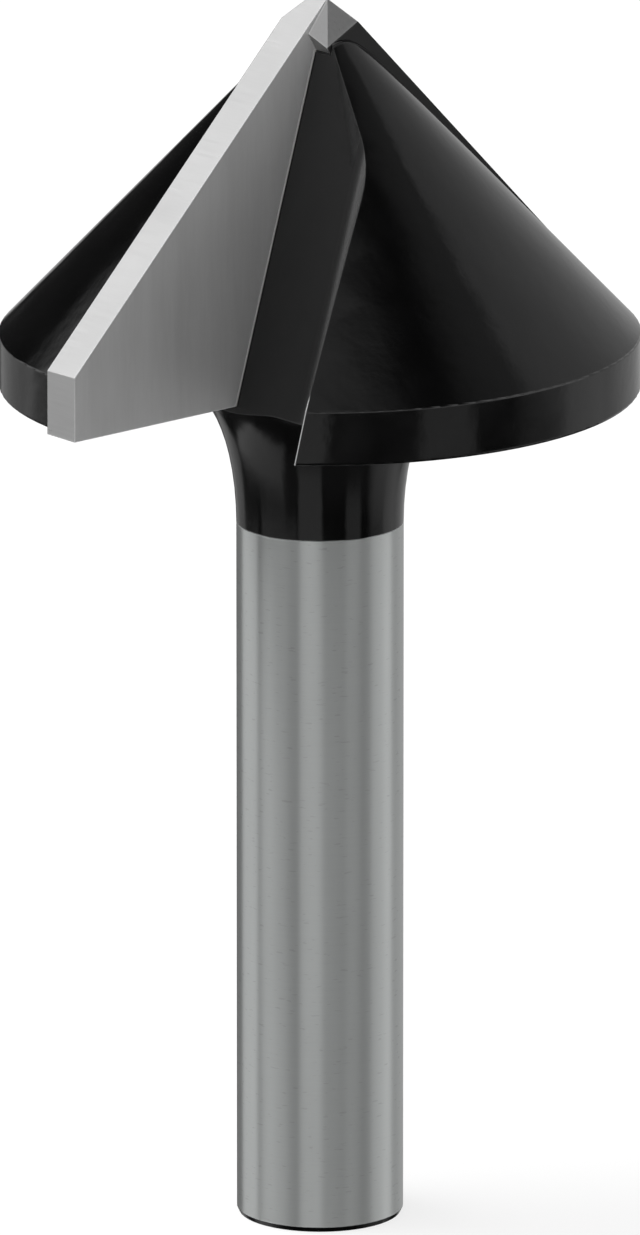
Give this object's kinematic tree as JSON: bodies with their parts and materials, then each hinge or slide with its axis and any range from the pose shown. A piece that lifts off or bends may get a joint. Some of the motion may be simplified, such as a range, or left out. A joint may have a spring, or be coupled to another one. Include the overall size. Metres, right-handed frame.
{
  "type": "v-groove router bit",
  "caption": "V-groove router bit: plain round shank, coned steel head with open gullets, and brazed carbide tips ground to a right-angled point.",
  "frame": {"origin": "centre of the end face of the shank, on the axis of rotation", "axes": "+Z along the axis from the shank to the point; carbide_tip_1 reaches along +X with its rake face looking along +Y"},
  "size_m": [0.0318, 0.0306, 0.06],
  "materials": {
    "body_steel": "gloss black coating on the head and neck, bare ground steel on the shank",
    "carbide": "finely ground cemented carbide",
    "braze_metal": "silver braze, satin"
  },
  "bodies": {
    "root": {"body": "body_steel", "carbide_tip_1": "carbide", "carbide_tip_2": "carbide", "braze": "braze_metal"}
  },
  "joints": []
}
